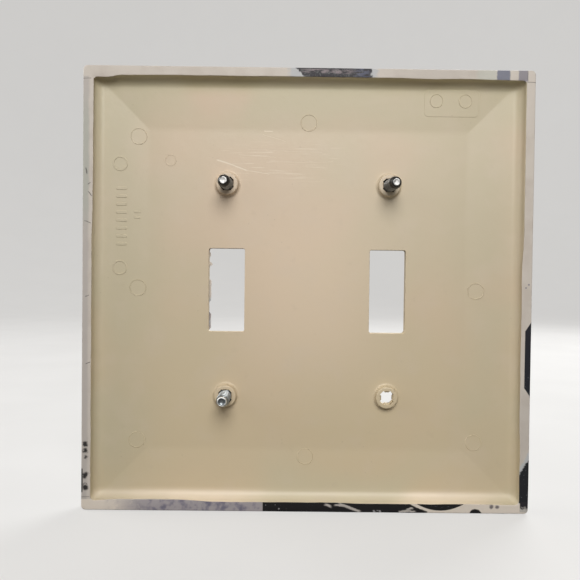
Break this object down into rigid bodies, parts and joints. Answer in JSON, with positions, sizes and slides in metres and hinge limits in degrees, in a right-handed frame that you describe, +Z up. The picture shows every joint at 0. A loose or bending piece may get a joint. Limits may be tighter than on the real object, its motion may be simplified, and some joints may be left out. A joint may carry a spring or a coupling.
{
  "type": "two-gang toggle switch wall plate",
  "caption": "Midway-size wall plate with two toggle openings, a printed paper wrap turned over its rim, and captive oval-head screws in bosses behind it.",
  "frame": {"origin": "centre of the wall side of the plate, on the outer face of the turned-over paper", "axes": "upright as mounted: +X to the right seen from the front, +Y into the wall, +Z up; the decorated face looks towards -Y"},
  "size_m": [0.1258, 0.0134, 0.1242],
  "materials": {
    "ivory_plastic": "satin moulded ivory",
    "printed_paper": "smooth printed",
    "dark_steel": "dull plated",
    "zinc_steel": "bright zinc"
  },
  "bodies": {
    "plate": {"plate": "ivory_plastic", "paper_wrap": "printed_paper"},
    "upper_right_screw": {"upper_right_screw": "dark_steel"},
    "upper_left_screw": {"upper_left_screw": "dark_steel"},
    "lower_right_screw": {"lower_right_screw": "zinc_steel"}
  },
  "joints": [
    {"name": "upper_right_screw_slide", "type": "slide", "parent": "plate", "child": "upper_right_screw", "axis": [0, -1, 0], "range_m": [-0.00035, 0.0075]},
    {"name": "upper_left_screw_slide", "type": "slide", "parent": "plate", "child": "upper_left_screw", "axis": [0, -1, 0], "range_m": [-0.00035, 0.0075]},
    {"name": "lower_right_screw_slide", "type": "slide", "parent": "plate", "child": "lower_right_screw", "axis": [0, -1, 0], "range_m": [-0.00035, 0.0075]}
  ]
}
